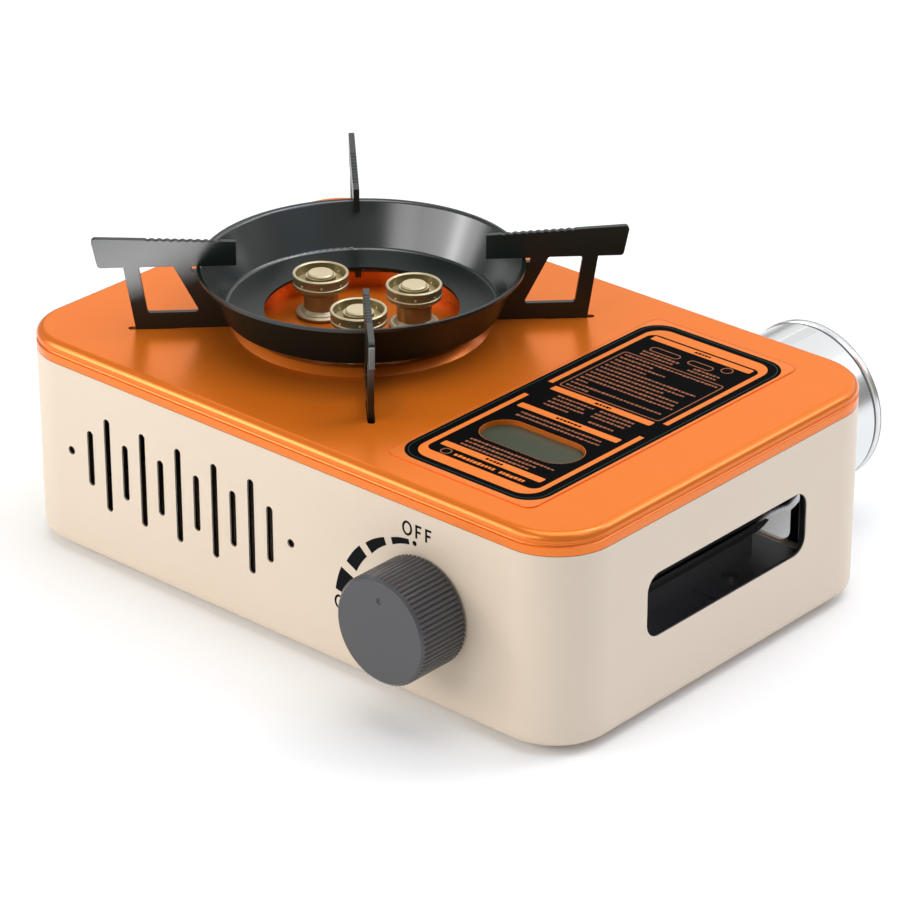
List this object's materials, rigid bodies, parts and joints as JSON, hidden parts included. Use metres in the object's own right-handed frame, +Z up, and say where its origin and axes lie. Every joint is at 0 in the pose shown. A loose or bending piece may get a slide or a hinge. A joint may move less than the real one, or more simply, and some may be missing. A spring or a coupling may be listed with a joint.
{
  "type": "portable gas stove",
  "caption": "Flat tabletop gas stove with a removable drip pan and pot supports over clustered burners, a side control knob and a lying gas cartridge that pulls out of the rear.",
  "frame": {"origin": "on the ground, under the middle of the whole stove's bounding box, knob and cartridge included", "axes": "+X to the right along the front face, +Y to the rear, where the cartridge comes out, +Z up"},
  "size_m": [0.2852, 0.2604, 0.1296],
  "materials": {
    "cream_paint": "satin",
    "orange_paint": "satin",
    "label_film": "gloss",
    "sight_pane": "gloss",
    "black_enamel": "satin",
    "brass": "machined",
    "cast_aluminium": "cast",
    "plated_steel": "zinc plated",
    "tinplate": "bright",
    "grey_plastic": "fine grain",
    "black_plastic": "fine grain",
    "ceramic": "glazed",
    "black_rubber": "matte"
  },
  "bodies": {
    "stove": {"base_screws": "plated_steel", "bay_tray": "black_enamel", "body_shell": "cream_paint", "burner_core_1": "brass", "burner_core_2": "brass", "burner_core_3": "brass", "burner_head_1": "brass", "burner_head_2": "brass", "burner_head_3": "brass", "burner_manifold": "cast_aluminium", "burner_stem_1": "brass", "burner_stem_2": "brass", "burner_stem_3": "brass", "canister_cradle": "black_enamel", "cradle_screws": "plated_steel", "heat_shield": "plated_steel", "igniter_electrode": "ceramic", "igniter_lead": "black_rubber", "label_panel": "label_film", "mixing_tube": "plated_steel", "panel_nut": "plated_steel", "piezo_igniter": "black_plastic", "regulator_body": "cast_aluminium", "regulator_socket": "cast_aluminium", "rubber_feet": "black_rubber", "sight_window": "sight_pane", "socket_seal": "black_rubber", "tie_pillars": "plated_steel", "top_cover": "orange_paint"},
    "knob": {"control_knob": "grey_plastic", "valve_spindle": "brass"},
    "canister": {"gas_canister": "tinplate", "canister_valve": "tinplate"},
    "pan_unit": {"drip_pan": "black_enamel", "pot_support_1": "black_enamel", "pot_support_2": "black_enamel", "pot_support_3": "black_enamel", "pot_support_4": "black_enamel"}
  },
  "joints": [
    {"name": "knob_turn", "type": "hinge", "parent": "stove", "child": "knob", "pos_m": [0.0758, -0.10635, 0.043], "axis": [0, -1, 0], "range_deg": [0, 97]},
    {"name": "canister_slide", "type": "slide", "parent": "stove", "child": "canister", "axis": [0, 1, 0], "range_m": [0, 0.15]},
    {"name": "pan_lift", "type": "slide", "parent": "stove", "child": "pan_unit", "axis": [0, 0, 1], "range_m": [0, 0.05]}
  ]
}
